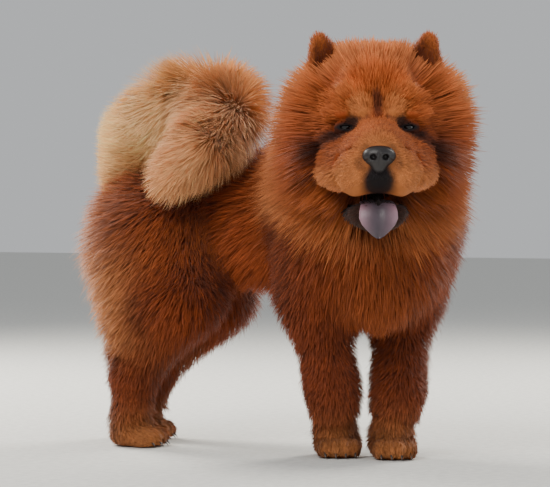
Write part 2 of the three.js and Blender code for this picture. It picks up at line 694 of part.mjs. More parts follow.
// Colours of the red coat and of the bare parts
const COLOURS = {
  head: [0.53, 0.24, 0.1], neck: [0.52, 0.26, 0.12], torso: [0.34, 0.14, 0.05],
  tail: [0.86, 0.62, 0.4], leg: [0.36, 0.16, 0.07], paw: [0.6, 0.36, 0.2], jaw: [0.3, 0.12, 0.05],
  ear: [0.66, 0.36, 0.18], eye: [0.05, 0.03, 0.025], nose: [0.06, 0.055, 0.06],
  tongue: [0.36, 0.3, 0.36], claw: [0.16, 0.12, 0.1],
};

const nodes = [];
const addNode = (name, colour, solid, roughness = 0.85) =>
  nodes.push({ name, colour: COLOURS[colour], solid: mended(largest(solid)), roughness });

const small = [
  ...[1, -1].map((side) => earShape(side, 0.5)),
  noseShape(0.5), jawShape(0.5), tongueShape(0.5),
];
const faceCuts = [
  ...bothSides((side) => [eyeball(side, GAP), lidOpening(side)]), mouthSpace(), browFurrow(),
];
const cores = NODES.map((node) => coreOf(node, 0, GAP / 2));
const grownCores = NODES.map((node) => coreOf(node, 0.16 * node.cell, -GAP / 2));
const earlierLocks = [];
for (const [index, node] of NODES.entries()) {
  let core = cores[index];
  const coat = COATS[node.name.split("_").find((word) => COATS[word])];
  const locks = coat ? locksOn(coreOf(node, 0, ROOT_MARGIN), coat, node.field) : [];
  if (node.field === tailField) {
    core = cut(core, grownCores.filter((_, other) => NODES[other].field !== tailField));
  }
  if (locks.length) {
    const others = (all) => all.filter((_, other) => other !== index);
    const neighbours = [...others(grownCores), ...others(cores)];
    const fur = cut(join(locks.map((lock) => lockShape(lock))), [...neighbours, ...earlierLocks]);
    core = join([core, fur]);
    earlierLocks.push(...locks.map((lock) => lockShape(lock, 0.8)));
  }
  if (node.name === "head") {
    core = join([cut(core, bothSides((side) => [eyeHollow(side)])), lidOf(1), lidOf(-1)]);
    core = cut(core, faceCuts);
  }
  core = cut(core, [...small, below(0.4, 0)]);
  const colour = node.name.includes("leg") ? "leg" : node.name.split("_")[0];
  addNode(node.name, colour, core);
}
addNode("jaw", "jaw", cut(jawShape(), [mouthSpace(), tongueShape(0.4)]));
addNode("tongue", "tongue", tongueShape(), 0.4);
addNode("nose", "nose", cut(noseShape(), noseCuts()), 0.35);
for (const side of [1, -1]) {
  addNode("ear_" + sideName(side), "ear", cut(earShape(side), [earCup(side)]));
  addNode("eye_" + sideName(side), "eye", eyeball(side, 0), 0.08);
}
for (const label of PAWS) {
  addNode(label, "paw", pawShape(label));
  TOES.forEach((toe, i) => addNode(label + "_claw_" + (i + 1), "claw", clawShape(FRAMES[label], toe), 0.5));
}

// Meshes, moved so that the origin is below the middle of the animal
const bounds = new THREE.Box3();
for (const { solid } of nodes) {
  const { min, max } = solid.boundingBox();
  bounds.union(new THREE.Box3(new THREE.Vector3(...min), new THREE.Vector3(...max)));
}
const middle = bounds.getCenter(new THREE.Vector3());
const group = new THREE.Group();
for (const { name, colour, solid, roughness } of nodes) {
  const { vertProperties, triVerts } = solid.getMesh();
  const indexed = new THREE.BufferGeometry();
  indexed.setAttribute("position", new THREE.BufferAttribute(new Float32Array(vertProperties), 3));
  indexed.setIndex(new THREE.BufferAttribute(new Uint32Array(triVerts), 1));
  indexed.translate(-middle.x, -middle.y, -bounds.min.z);
  const geometry = indexed.toNonIndexed();
  geometry.computeVertexNormals();
  const material = new THREE.MeshStandardMaterial({ roughness, metalness: 0 });
  material.color.setRGB(...colour, THREE.SRGBColorSpace);
  const mesh = new THREE.Mesh(geometry, material);
  mesh.name = name;
  group.add(mesh);
}

export default group;
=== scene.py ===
import math

import bpy
import numpy as np
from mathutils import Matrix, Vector


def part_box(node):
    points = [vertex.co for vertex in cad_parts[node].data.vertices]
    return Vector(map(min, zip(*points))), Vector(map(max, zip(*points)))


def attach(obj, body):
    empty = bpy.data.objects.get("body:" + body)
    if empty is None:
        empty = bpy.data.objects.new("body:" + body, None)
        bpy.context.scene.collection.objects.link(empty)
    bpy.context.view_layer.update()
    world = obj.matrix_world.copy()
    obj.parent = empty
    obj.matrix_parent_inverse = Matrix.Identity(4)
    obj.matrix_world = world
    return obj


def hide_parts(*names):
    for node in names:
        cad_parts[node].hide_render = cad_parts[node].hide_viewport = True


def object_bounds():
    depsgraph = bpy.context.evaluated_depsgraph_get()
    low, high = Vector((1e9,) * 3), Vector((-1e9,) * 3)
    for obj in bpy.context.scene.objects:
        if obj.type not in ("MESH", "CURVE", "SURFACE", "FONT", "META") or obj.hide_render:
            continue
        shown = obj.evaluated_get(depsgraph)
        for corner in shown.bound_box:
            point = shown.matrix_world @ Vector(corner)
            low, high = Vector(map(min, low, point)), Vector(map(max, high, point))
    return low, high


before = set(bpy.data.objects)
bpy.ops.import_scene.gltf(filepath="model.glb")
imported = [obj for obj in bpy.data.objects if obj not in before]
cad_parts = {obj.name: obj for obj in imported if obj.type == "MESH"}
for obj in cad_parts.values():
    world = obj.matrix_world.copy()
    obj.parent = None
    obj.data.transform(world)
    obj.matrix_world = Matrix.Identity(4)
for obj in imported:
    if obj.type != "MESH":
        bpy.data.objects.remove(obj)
cad_bounds = [list(corner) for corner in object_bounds()]
rng = np.random.default_rng(27)

# Driving dimensions, in metres and degrees, the same as in the solids
WITHERS = 0.5
TRUNK = 0.73 * WITHERS
HIP_UP = 0.75 * WITHERS
CHEST_UP = 0.735 * WITHERS
SKULL_UP = 1.115 * WITHERS
SKULL_OUT = 0.32 * WITHERS
HIND_TURN = 13
FORE_TURN = -31
NECK_TURN = -53
HEAD_TURN = -57
BLEND = 0.013
EYE = 0.011
SOLE = 0.052

# Finer joins, the cells of the grid under each surface, and how much coat there is
JAW_BLEND = 0.008
TOE_BLEND = 0.003
BODY_CELL = 0.0055
HEAD_CELL = 0.0025
PAW_CELL = 0.003
EAR_CELL = 0.0022
NOSE_CELL = 0.0011
PAW_REACH = 0.065  # half the width of a paw's own grid
FLOOR_GAP = 0.0004
EYE_ROOM = 0.0004  # between an eyeball and its solid
TUFTS = 280000
EAR_TUFTS = 5000
PIECE = 38000  # most tufts in one coat piece


# Frames of reference: an origin, and the axes forward, left and up
def frame_at(x, y, z, turn):
    turn = math.radians(turn)
    forward = [math.sin(turn), -math.cos(turn), 0]
    left = [math.cos(turn), math.sin(turn), 0]
    return {"origin": np.array([x, y, z]), "axes": np.array([forward, left, [0, 0, 1]])}


def place(name, spot):
    return FRAMES[name]["origin"] + np.array(spot) @ FRAMES[name]["axes"]


def seen_from(name, points):
    return (points - FRAMES[name]["origin"]) @ FRAMES[name]["axes"].T


def toward(name, direction):
    return np.array(direction, float) @ FRAMES[name]["axes"]


FRAMES = {
    "HIND": frame_at(0, TRUNK / 2, 0, HIND_TURN),
    "MIDDLE": frame_at(0.07 * TRUNK, -0.03 * TRUNK, 0, (HIND_TURN + FORE_TURN) / 2),
    "FORE": frame_at(0, -TRUNK / 2, 0, FORE_TURN),
    "NECK": frame_at(0, -TRUNK / 2, 0, NECK_TURN),
}
FRAMES["HEAD"] = frame_at(*place("NECK", [SKULL_OUT, 0, SKULL_UP]), HEAD_TURN)

# Colours of the coat as a screen shows them, at the root and at the tip. The darker roots are painted shade
# deep in the coat. The paler tips of the ruff, back, rump and breeches are partly lighter fur and partly
# painted rim light. The darker flank, legs, chest and jaw are painted shade under the body and head.
TONES = {
    "crown": ((158, 68, 26), (204, 104, 46)),
    "brow": ((156, 70, 28), (196, 104, 46)),
    "muzzle": ((136, 60, 24), (176, 96, 48)),
    "cheek": ((90, 34, 12), (142, 60, 25)),
    "ruff": ((138, 62, 24), (236, 162, 102)),
    "mane": ((122, 52, 20), (208, 126, 70)),
    "chest": ((98, 38, 14), (164, 84, 40)),
    "back": ((114, 47, 18), (196, 112, 60)),
    "flank": ((104, 41, 15), (162, 75, 33)),
    "rump": ((112, 48, 18), (196, 116, 64)),
    "breech": ((118, 54, 22), (218, 148, 92)),
    # The pale tail and plume are partly lighter fur and partly painted light on their top
    "tail": ((234, 172, 114), (255, 212, 156)),
    "plume": ((206, 146, 94), (244, 186, 132)),
    "leg": ((88, 36, 14), (134, 60, 26)),
    "paw": ((138, 76, 38), (190, 122, 70)),
    "jaw": ((30, 16, 12), (60, 30, 18)),
}

# Muscle masses: ellipsoids and round cones, with the depth, tone and lie of the coat on each
BODY = []
TAIL = []
JAW = []
COATS = [BODY, TAIL, JAW]


def egg(masses, name, at, radii, coat, tone, lie):
    masses.append({
        "centre": place(name, at), "frame": name, "radii": np.array(radii), "coat": coat,
        "tone": tone, "lie": toward(name, lie),
    })


def cone(masses, name, start, end, radii, coat, tone, lie):
    masses.append({
        "start": place(name, start), "end": place(name, end), "radii": np.array(radii),
        "coat": coat, "tone": tone, "lie": toward(name, lie),
    })


BACK_DOWN = [-0.8, 0, -0.7]
DOWN = [-0.25, 0, -1]
CHEST_LIE = [0.1, 0, -1]
egg(BODY, "FORE", [-0.015, 0, CHEST_UP + 0.003], [0.136, 0.088, 0.104], 0.042, "flank", BACK_DOWN)
egg(BODY, "FORE", [0.062, 0, CHEST_UP - 0.042], [0.06, 0.066, 0.08], 0.048, "chest", CHEST_LIE)
egg(BODY, "FORE", [-0.045, 0, CHEST_UP + 0.075], [0.088, 0.056, 0.046], 0.06, "back", [-1, 0, -0.4])
egg(BODY, "MIDDLE", [-0.006, 0, HIP_UP + 0.012], [0.118, 0.076, 0.08], 0.054, "flank", BACK_DOWN)
egg(BODY, "HIND", [0.004, 0, HIP_UP + 0.006], [0.112, 0.082, 0.082], 0.042, "rump", BACK_DOWN)
egg(BODY, "HIND", [-0.058, 0, HIP_UP - 0.04], [0.052, 0.072, 0.08], 0.072, "breech", [-0.7, 0, -0.9])
cone(
    BODY, "NECK", [-0.005, 0, CHEST_UP + 0.045], [SKULL_OUT - 0.048, 0, SKULL_UP - 0.072],
    [0.084, 0.074], 0.092, "mane", [-0.3, 0, -1],
)
egg(BODY, "NECK", [0.066, 0, CHEST_UP + 0.022], [0.062, 0.07, 0.074], 0.078, "chest", CHEST_LIE)
egg(BODY, "HEAD", [0, 0, 0.008], [0.082, 0.072, 0.066], 0.026, "crown", [-0.8, 0, 0.4])
egg(BODY, "HEAD", [0.092, 0, -0.06], [0.06, 0.034, 0.033], 0.005, "muzzle", [-1, 0, 0.3])
for side in (1, -1):
    egg(BODY, "HEAD", [-0.008, side * 0.05, -0.046], [0.052, 0.042, 0.054], 0.066, "cheek",
        [-0.7, side * 0.6, -0.2])
    egg(BODY, "HEAD", [-0.036, side * 0.056 + 0.007, -0.006], [0.042, 0.038, 0.048], 0.066, "ruff",
        [-0.6, side * 0.8, 0.3])
    egg(BODY, "HEAD", [0.06, side * 0.029, -0.008], [0.025, 0.022, 0.019], 0.008, "brow",
        [-0.6, side * 0.3, 0.9])
    egg(BODY, "HEAD", [0.056, side * 0.05, -0.062], [0.03, 0.026, 0.022], 0.009, "cheek",
        [-0.8, side * 0.7, -0.3])
    egg(BODY, "HEAD", [0.106, side * 0.025, -0.099], [0.042, 0.032, 0.036], 0.004, "muzzle",
        [-0.8, side * 0.5, -0.5])
    egg(BODY, "HEAD", [0.07, side * 0.044, -0.102], [0.044, 0.034, 0.024], 0.007, "muzzle",
        [-0.9, side * 0.5, -0.3])
egg(JAW, "HEAD", [0.045, 0, -0.147], [0.064, 0.045, 0.031], 0.014, "jaw", [-0.9, 0, -0.5])
egg(JAW, "HEAD", [0.098, 0, -0.165], [0.031, 0.037, 0.021], 0.009, "jaw", [-0.9, 0, -0.5])

# Legs: joints on the right side, and how far the left foot is in front of that
FORELEG = {
    "elbow": [-0.014, 0.076, 0.262], "wrist": [-0.012, 0.05, 0.108], "foot": [-0.024, 0.034, 0.021],
}
HINDLEG = {
    "knee": [0.038, 0.078, 0.258], "hock": [-0.052, 0.066, 0.14], "foot": [-0.056, 0.057, 0.021],
}
FORE_STEP = 0.062
HIND_STEP = -0.034
PAW_TURNS = {"FORE": FORE_TURN - 22, "HIND": HIND_TURN - 8}
TOES = (-1.5, -0.5, 0.5, 1.5)
TOE_PITCH = 0.016


def down(spot, side, step):
    return np.array([spot[0] + step, side * spot[1], spot[2]])


def toe_at(toe):
    return [0.032 - 0.006 * abs(toe), toe * TOE_PITCH, 0.015]


def paw(name, word, foot):
    label = f"{name.lower()}_paw_{word}"
    FRAMES[label] = frame_at(*place(name, [foot[0], foot[1], 0]), PAW_TURNS[name])
    egg(BODY, label, [-0.006, 0, 0.02], [0.037, 0.034, 0.025], 0.006, "paw", [0.8, 0, -0.6])
    for toe in TOES:
        egg(BODY, label, toe_at(toe), [0.022, 0.0105, 0.016], 0.004, "paw", [0.9, 0, -0.4])
    return label


PAWS = []
for side, word in ((1, "left"), (-1, "right")):
    step = FORE_STEP if side > 0 else 0
    elbow = down(FORELEG["elbow"], side, 0.15 * step)
    wrist = down(FORELEG["wrist"], side, 0.7 * step)
    foot = down(FORELEG["foot"], side, step)
    ankle = foot + [-0.008, 0, 0.013]
    cone(BODY, "FORE", [0.03, side * 0.062, CHEST_UP - 0.01], elbow, [0.066, 0.046], 0.034, "leg", DOWN)
    cone(BODY, "FORE", elbow, wrist, [0.04, 0.026], 0.02, "leg", DOWN)
    cone(BODY, "FORE", wrist, ankle, [0.026, 0.025], 0.01, "leg", DOWN)
    PAWS.append(paw("FORE", word, foot))
    step = HIND_STEP if side > 0 else 0
    knee = down(HINDLEG["knee"], side, 0)
    hock = down(HINDLEG["hock"], side, 0.5 * step)
    foot = down(HINDLEG["foot"], side, step)
    ankle = foot + [-0.012, 0, 0.013]
    cone(BODY, "HIND", [0.002, side * 0.032, HIP_UP - 0.012], knee, [0.084, 0.048], 0.038, "flank", DOWN)
    cone(BODY, "HIND", [-0.036, side * 0.046, HIP_UP - 0.07], [-0.04, side * 0.07, 0.225],
         [0.058, 0.036], 0.052, "breech", [-0.5, 0, -1])
    cone(BODY, "HIND", knee, hock, [0.046, 0.028], 0.026, "leg", [-0.5, 0, -1])
    cone(BODY, "HIND", hock, ankle, [0.026, 0.023], 0.013, "leg", DOWN)
    PAWS.append(paw("HIND", word, foot))

# The tail, from the croup forward over the back and down the right flank
TAIL_PATH = [
    [-0.078, 0, HIP_UP + 0.077], [-0.058, 0, HIP_UP + 0.145], [-0.01, -0.002, HIP_UP + 0.197],
    [0.066, -0.02, HIP_UP + 0.212], [0.122, -0.078, HIP_UP + 0.186], [0.108, -0.142, HIP_UP + 0.132],
    [0.058, -0.172, HIP_UP + 0.078],
]
TAIL_RADII = [0.026, 0.023, 0.02, 0.017, 0.014, 0.011, 0.008]
TAIL_COATS = [0.046, 0.062, 0.068, 0.07, 0.06, 0.046]
for i in range(1, len(TAIL_PATH)):
    along = np.subtract(TAIL_PATH[i], TAIL_PATH[i - 1])
    lie = 0.7 * along / np.linalg.norm(along) + [-0.7, 0, -0.5]
    tone = "tail" if i < 4 else "plume"
    cone(TAIL, "HIND", TAIL_PATH[i - 1], TAIL_PATH[i], TAIL_RADII[i - 1:i + 1], TAIL_COATS[i - 1], tone, lie)

# The solids are centred on their own box, so their eyes show how far everything here moves
EYE_SPOT = [0.079, 0.048, -0.034]
EYES = {}
for word in ("left", "right"):
    low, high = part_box("eye_" + word)
    EYES[word] = (np.array(low) + np.array(high)) / 2
SHIFT = (EYES["left"] + EYES["right"]) / 2 - place("HEAD", [EYE_SPOT[0], 0, EYE_SPOT[2]])
for each in FRAMES.values():
    each["origin"] = each["origin"] + SHIFT
for mass in BODY + TAIL + JAW:
    for key in ("centre", "start", "end"):
        if key in mass:
            mass[key] = mass[key] + SHIFT


# Distances, below zero inside
def ball(local, at, radii):
    offset = local - np.array(at)
    level = np.sqrt(((offset / radii) ** 2).sum(1))
    slope = np.sqrt(((offset / np.square(radii)) ** 2).sum(1)) + 1e-9
    return level * (level - 1) / slope


def rod(local, start, end, radius):
    line = np.subtract(end, start)
    along = np.clip((local - start) @ line / (line @ line), 0, 1)
    return np.linalg.norm(local - start - along[:, None] * line, axis=1) - radius


def to_mass(points, mass, share):
    grow = share * mass["coat"]
    if "centre" in mass:
        local = (points - mass["centre"]) @ FRAMES[mass["frame"]]["axes"].T
        return ball(local, [0, 0, 0], mass["radii"] + grow)
    line = mass["end"] - mass["start"]
    along = np.clip((points - mass["start"]) @ line / (line @ line), 0, 1)
    radius = mass["radii"][0] + along * (mass["radii"][1] - mass["radii"][0]) + grow
    return np.linalg.norm(points - mass["start"] - along[:, None] * line, axis=1) - radius


def soft_field(points, masses, share=0.0, soft=BLEND):
    spans = np.stack([to_mass(points, mass, share) for mass in masses])
    least = spans.min(0)
    return least - soft * np.log(np.exp((least - spans) / soft).sum(0))


def soft_join(field, other, soft):
    share = np.clip(0.5 + 0.5 * (other - field) / soft, 0, 1)
    return other * (1 - share) + field * share - soft * share * (1 - share)


def soft_cut(field, tool, soft):
    return -soft_join(-field, tool, soft)


def mirrored(local):
    return np.column_stack([local[:, 0], np.abs(local[:, 1]), local[:, 2]])


# The face in the head's frame, one half of it, as the other mirrors it
MOUTH = [0.062, 0, -0.141]
MOUTH_RADII = np.array([0.064, 0.062, 0.017])
EYE_HOLLOW = ([0.103, 0.047, -0.034], [0.018, 0.018, 0.009])
LID_GAP = 0.0172  # from the eye's middle up or down to the middle of each lid's arc
LID_OUT = 0.012  # from the eye's middle forward to the same
LID_RADIUS = 0.02
EYE_BULGE = np.array([0.0135, 0.0165, 0.0135])
MOUTH_ROOM = ([0.1, 0, -0.154], np.array([0.09, 0.064, 0.046]))
NOSE_ROOM = ([0.148, 0, -0.082], np.array([0.026, 0.025, 0.023]))
EAR_MIDDLE = np.array([-0.022, 0.078, 0.076])
EAR_ROOM = np.array([0.021, 0.034])
BROW_FORMS = [
    ([0.09, 0.025, -0.008], [0.011, 0.013, 0.0105]),
    ([0.08, 0.052, -0.014], [0.014, 0.02, 0.008]),
    ([0.086, 0.034, 0.014], [0.01, 0.018, 0.008]),
    ([0.118, 0.034, -0.112], [0.034, 0.02, 0.026]),
    ([0.092, 0, -0.016], [0.013, 0.012, 0.026]),
]
FOLDS = [
    ([0.1, 0, 0.045], [0.098, 0, -0.014], 0.0026),
    ([0.094, 0.044, -0.038], [0.086, 0.062, -0.047], 0.0032),
    ([0.086, 0.062, -0.047], [0.072, 0.076, -0.06], 0.0032),
    ([0.072, 0.076, -0.06], [0.056, 0.084, -0.08], 0.0026),
    ([0.092, 0.04, -0.018], [0.088, 0.036, 0.002], 0.0018),
    ([0.154, 0, -0.098], [0.15, 0, -0.136], 0.0022),
    ([0.132, 0.036, -0.068], [0.118, 0.052, -0.08], 0.0024),
    ([0.116, 0.058, -0.076], [0.114, 0.058, -0.128], 0.0042),
    ([0.138, 0.04, -0.092], [0.12, 0.056, -0.106], 0.0012),
]


def lids_open(near):
    upper = np.linalg.norm(near - EYE_SPOT - [LID_OUT, 0, LID_GAP], axis=1) - LID_RADIUS
    lower = np.linalg.norm(near - EYE_SPOT - [LID_OUT, 0, -LID_GAP], axis=1) - LID_RADIUS
    return np.maximum(upper, lower)


def head_field(points):
    field = soft_field(points, BODY)
    near = mirrored(seen_from("HEAD", points))
    for at, radii in BROW_FORMS:
        field = soft_join(field, ball(near, at, np.array(radii)), 0.006)
    field = soft_cut(field, ball(near, EYE_HOLLOW[0], np.array(EYE_HOLLOW[1])), 0.006)
    for start, end, radius in FOLDS:
        field = soft_cut(field, rod(near, start, end, radius), 0.007)
    field = soft_join(field, ball(near, EYE_SPOT, EYE_BULGE), 0.003)
    field = np.maximum(field, -lids_open(near))
    field = np.maximum(field, EYE - np.linalg.norm(near - EYE_SPOT, axis=1))
    field = soft_join(field, soft_field(points, JAW, soft=JAW_BLEND), 0.004)
    return soft_cut(field, ball(near, MOUTH, MOUTH_RADII), 0.004)


LIMBS = [mass for mass in BODY if mass["tone"] != "paw"]
TOE_MASSES = [mass for mass in BODY if mass["tone"] == "paw"]


def body_field(points):
    return soft_join(soft_field(points, LIMBS), soft_field(points, TOE_MASSES, soft=TOE_BLEND), 0.008)


def tail_field(points):
    return soft_field(points, TAIL)


def gradient(field, points, step):
    slopes = []
    for shift in np.eye(3) * step:
        slopes.append((field(points + shift) - field(points - shift)) / (2 * step))
    return np.column_stack(slopes)


# The surface of a field in a box, as points and quads on a square grid
def surface(field, low, high, cell, keep=None):
    counts = np.ceil((np.array(high) - low) / cell).astype(int) + 1
    axes = [low[i] + cell * np.arange(counts[i]) for i in range(3)]
    values = np.empty(counts)
    x, y = np.meshgrid(axes[0], axes[1], indexing="ij")
    for k, z in enumerate(axes[2]):
        layer = np.column_stack([x.ravel(), y.ravel(), np.full(x.size, z)])
        values[:, :, k] = field(layer).reshape(x.shape)
    inside = values < 0
    corners = np.zeros(counts - 1, int)
    for i, j, k in np.ndindex(2, 2, 2):
        corners += inside[i:counts[0] - 1 + i, j:counts[1] - 1 + j, k:counts[2] - 1 + k]
    cells = np.argwhere((corners > 0) & (corners < 8))
    number = -np.ones(counts - 1, int)
    number[tuple(cells.T)] = np.arange(len(cells))
    points = low + cell * cell_middles(values, cells)
    for _ in range(2):
        slope = gradient(field, points, cell * 0.1)
        move = -field(points)[:, None] * slope / np.maximum((slope**2).sum(1), 0.1)[:, None]
        reach = np.linalg.norm(move, axis=1) + 1e-12
        points = points + move * np.minimum(1, 0.4 * cell / reach)[:, None]
    quads = np.concatenate([quads_across(inside, number, axis) for axis in range(3)])
    if keep is not None:
        quads = quads[keep(points[quads].mean(1))]
    used, quads_used = np.unique(quads, return_inverse=True)
    return points[used], quads_used.reshape(quads.shape)


def cell_middles(values, cells):
    sums = np.zeros((len(cells), 3))
    found = np.zeros(len(cells))
    for axis in range(3):
        others = [n for n in range(3) if n != axis]
        for a, b in np.ndindex(2, 2):
            start = cells.copy()
            start[:, others[0]] += a
            start[:, others[1]] += b
            end = start.copy()
            end[:, axis] += 1
            first, second = values[tuple(start.T)], values[tuple(end.T)]
            crossed = (first < 0) != (second < 0)
            spot = start.astype(float)
            spot[:, axis] += np.where(crossed, first / np.where(crossed, first - second, 1), 0)
            sums += spot * crossed[:, None]
            found += crossed
    return sums / found[:, None]


def quads_across(inside, number, axis):
    u, v = (axis + 1) % 3, (axis + 2) % 3
    first = [slice(1, None)] * 3
    second = [slice(1, None)] * 3
    first[axis] = slice(0, -1)
    edges = np.argwhere(inside[tuple(first)] != inside[tuple(second)])
    edges[:, [u, v]] += 1
    edges = edges[(edges[:, u] < inside.shape[u] - 1) & (edges[:, v] < inside.shape[v] - 1)]
    ring = []
    for du, dv in ((-1, -1), (0, -1), (0, 0), (-1, 0)):
        spot = edges.copy()
        spot[:, u] += du
        spot[:, v] += dv
        ring.append(number[tuple(spot.T)])
    ring = np.column_stack(ring)
    return np.where(inside[tuple(edges.T)][:, None], ring, ring[:, ::-1])


# Meshes, colours and materials
def linear(colour):
    colour = np.asarray(colour, float) / 255
    return np.where(colour <= 0.04045, colour / 12.92, ((colour + 0.055) / 1.055) ** 2.4)


def mix(colours, other, share):
    return colours * (1 - share[:, None]) + np.asarray(other) * share[:, None]


def mesh_object(name, points, faces):
    sizes = np.array([len(face) for face in faces])
    loops = np.concatenate([np.asarray(face) for face in faces])
    mesh = bpy.data.meshes.new(name)
    mesh.vertices.add(len(points))
    mesh.vertices.foreach_set("co", np.asarray(points, np.float32).ravel())
    mesh.loops.add(len(loops))
    mesh.loops.foreach_set("vertex_index", loops.astype(np.int32))
    mesh.polygons.add(len(sizes))
    starts = np.concatenate([[0], np.cumsum(sizes)[:-1]])
    mesh.polygons.foreach_set("loop_start", starts.astype(np.int32))
    mesh.update(calc_edges=True)
    mesh.polygons.foreach_set("use_smooth", np.ones(len(sizes), bool))
    made = bpy.data.objects.new(name, mesh)
    bpy.context.collection.objects.link(made)
    return made


def paint(made, colours):
    layer = made.data.color_attributes.new("Coat", "FLOAT_COLOR", "POINT")
    with_alpha = np.column_stack([colours, np.ones(len(colours))])
    layer.data.foreach_set("color", with_alpha.astype(np.float32).ravel())


def finish_piece(made, slot, *nodes):
    if nodes:
        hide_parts(*nodes)
    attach(made, "root")


def material(name, roughness, specular, colour=None, grain=(70, 0.8, 1.15), bump=None, sheen=0.0):
    made = bpy.data.materials.new(name)
    made.use_nodes = True
    tree = made.node_tree
    shader = tree.nodes["Principled BSDF"]
    shader.inputs["Roughness"].default_value = roughness
    shader.inputs["Specular IOR Level"].default_value = specular
    shader.inputs["Sheen Weight"].default_value = sheen
    spots = tree.nodes.new("ShaderNodeTexCoord")
    scale, low, high = grain
    noise = tree.nodes.new("ShaderNodeTexNoise")
    noise.inputs["Scale"].default_value = scale
    tree.links.new(spots.outputs["Object"], noise.inputs["Vector"])
    blend = tree.nodes.new("ShaderNodeMix")
    blend.data_type = "RGBA"
    if colour is None:
        base = tree.nodes.new("ShaderNodeAttribute")
        base.attribute_name = "Coat"
        level = tree.nodes.new("ShaderNodeMapRange")
        level.inputs["To Min"].default_value = low
        level.inputs["To Max"].default_value = high
        tree.links.new(noise.outputs["Fac"], level.inputs["Value"])
        blend.blend_type = "MULTIPLY"
        blend.inputs["Factor"].default_value = 1
        tree.links.new(base.outputs["Color"], blend.inputs["A"])
        tree.links.new(level.outputs["Result"], blend.inputs["B"])
    else:
        blend.inputs["A"].default_value = (*linear(colour) * low, 1)
        blend.inputs["B"].default_value = (*linear(colour) * high, 1)
        tree.links.new(noise.outputs["Fac"], blend.inputs["Factor"])
    tree.links.new(blend.outputs["Result"], shader.inputs["Base Color"])
    if bump:
        kind, scale, strength, depth = bump
        noise = tree.nodes.new(kind)
        noise.inputs["Scale"].default_value = scale
        tree.links.new(spots.outputs["Object"], noise.inputs["Vector"])
        raised = tree.nodes.new("ShaderNodeBump")
        raised.inputs["Strength"].default_value = strength
        raised.inputs["Distance"].default_value = depth
        tree.links.new(noise.outputs[0], raised.inputs["Height"])
        tree.links.new(raised.outputs["Normal"], shader.inputs["Normal"])
    return made


PEBBLES = "ShaderNodeTexVoronoi"
CLOUDS = "ShaderNodeTexNoise"

# Colours of the face: strokes of colour from one place to another, in one half of the head's frame. Some are
# the face's own colour, such as the tan muzzle and flews and the black lips. The rest are painted highlight
# on the brows and painted shade in the furrow, round the eyes and along the creases.
FACE_COLOURS_AND_PAINTED_LIGHT = [
    ([0.14, 0, -0.076], [0.128, 0.036, -0.112], 0.024, (196, 122, 68), 0.7),
    ([0.11, 0.056, -0.114], [0.085, 0.078, -0.108], 0.014, (196, 120, 66), 0.6),
    # Painted highlight on the raised inner brow bumps and the upper brows
    ([0.1, 0.026, -0.006], [0.1, 0.028, -0.008], 0.013, (204, 124, 68), 0.8),
    ([0.086, 0.04, 0.018], [0.08, 0.052, 0.012], 0.006, (190, 108, 54), 0.6),
    # Painted shade in the forehead furrow, in the crease beside the brow bump, round the eyes and down the
    # crease from each eye
    ([0.1, 0, 0.05], [0.1, 0, -0.018], 0.0045, (76, 28, 10), 0.85),
    ([0.1, 0.014, -0.024], [0.09, 0.036, -0.028], 0.0035, (84, 34, 14), 0.6),
    ([0.094, 0.036, -0.03], [0.088, 0.06, -0.042], 0.009, (34, 14, 8), 0.88),
    ([0.088, 0.06, -0.042], [0.064, 0.08, -0.066], 0.008, (62, 22, 8), 0.8),
    # The black lips below the nose, and the brown beside the nose
    ([0.15, 0, -0.098], [0.148, 0, -0.116], 0.011, (30, 24, 25), 0.96),
    ([0.148, 0, -0.116], [0.144, 0, -0.142], 0.018, (26, 20, 22), 0.97),
    ([0.148, 0.014, -0.07], [0.15, 0.024, -0.09], 0.006, (112, 66, 40), 0.6),
    # Painted shade along the creases of the muzzle
    ([0.132, 0.034, -0.066], [0.116, 0.056, -0.08], 0.003, (118, 54, 24), 0.6),
    ([0.116, 0.058, -0.08], [0.114, 0.058, -0.128], 0.003, (112, 50, 22), 0.6),
    ([0.142, 0.03, -0.094], [0.128, 0.046, -0.1], 0.0015, (112, 56, 28), 0.5),
    ([0.142, 0.03, -0.106], [0.128, 0.046, -0.112], 0.0015, (112, 56, 28), 0.5),
]
LIPS = linear([26, 20, 22])
GUMS = linear([40, 28, 32])


def weights_at(points, masses, soft=0.016):
    spans = np.column_stack([to_mass(points, mass, 0.0) for mass in masses])
    counts = np.exp(-(spans - spans.min(1, keepdims=True)) / soft)
    return counts / counts.sum(1, keepdims=True)


def near_lips(points):
    near = mirrored(seen_from("HEAD", points))
    rim = np.clip(1.6 - ball(near, MOUTH, MOUTH_RADII) / 0.0035, 0, 1)
    return rim * (near[:, 0] > 0.03)


# Colours at the roots and tips of the coat, with its painted shade and painted rim light, and the face's
# colours on top
def coat_colours_and_painted_light(points, coat_of):
    roots = np.empty_like(points)
    tips = np.empty_like(points)
    for number, masses in enumerate(COATS):
        chosen = coat_of == number
        if not chosen.any():
            continue
        weights = weights_at(points[chosen], masses)
        tones = np.array([linear(TONES[mass["tone"]]) for mass in masses])
        roots[chosen], tips[chosen] = weights @ tones[:, 0], weights @ tones[:, 1]
    near = mirrored(seen_from("HEAD", points))
    # The face's own colours go on top, with painted highlight on the brows and painted shade in its creases
    for start, end, radius, colour, strength in FACE_COLOURS_AND_PAINTED_LIGHT:
        share = strength * np.clip(1 - rod(near, start, end, radius) / (0.5 * radius + 0.003), 0, 1)
        share[coat_of == 1] = 0
        roots = mix(roots, linear(colour) * 0.85, share)
        tips = mix(tips, linear(colour), share)
    dark = 0.9 * near_lips(points) * (coat_of != 1)
    return mix(roots, LIPS, dark), mix(tips, LIPS, dark)


# The skin: a fine head, fine paws and a plainer body and tail in one object
HEAD_LOW = np.array([-0.06, -0.125, -0.215])
HEAD_HIGH = np.array([0.2, 0.125, 0.115])


